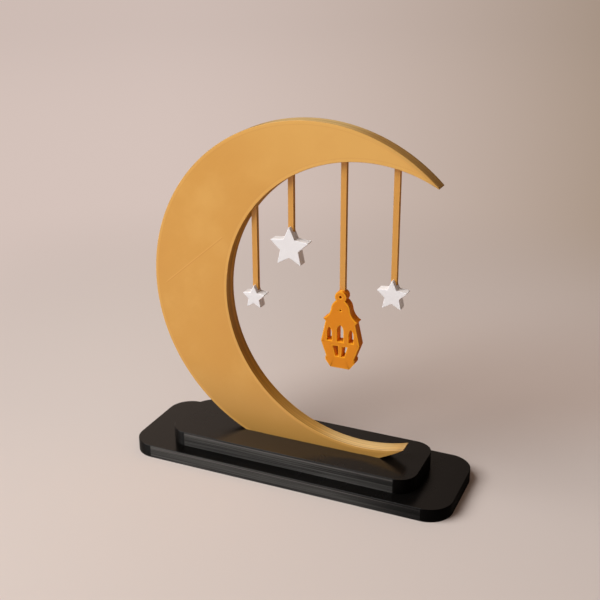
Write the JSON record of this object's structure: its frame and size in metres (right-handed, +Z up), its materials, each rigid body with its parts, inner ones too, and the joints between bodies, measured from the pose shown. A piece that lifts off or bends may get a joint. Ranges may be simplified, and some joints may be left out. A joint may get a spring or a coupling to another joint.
{
  "type": "eid crescent ornament",
  "caption": "Table ornament: an upright gold crescent moon plugged into a black stepped plinth, with white stars and an orange pierced lantern on rods inside the moon.",
  "frame": {"origin": "centre of the lower plinth's underside", "axes": "+X to the right along the plinth, towards the moon's open side; -Y front, the side that the stars and the lantern stand towards; +Z up"},
  "size_m": [0.2, 0.063, 0.2083],
  "materials": {
    "black_plastic": "satin black, fine layer lines on the walls",
    "gold_plastic": "satin pearl gold, fine layer lines on the walls",
    "white_plastic": "matt white",
    "orange_plastic": "satin orange"
  },
  "bodies": {
    "base": {"lower_plinth": "black_plastic", "upper_plinth": "black_plastic"},
    "crescent": {"crescent": "gold_plastic", "small_star_rod": "gold_plastic", "large_star_rod": "gold_plastic", "lantern_rod": "gold_plastic", "medium_star_rod": "gold_plastic", "small_star": "white_plastic", "large_star": "white_plastic", "medium_star": "white_plastic", "lantern": "orange_plastic"}
  },
  "joints": [
    {"name": "crescent_lift", "type": "slide", "parent": "base", "child": "crescent", "axis": [0, 0, 1], "range_m": [0, 0.012]}
  ]
}
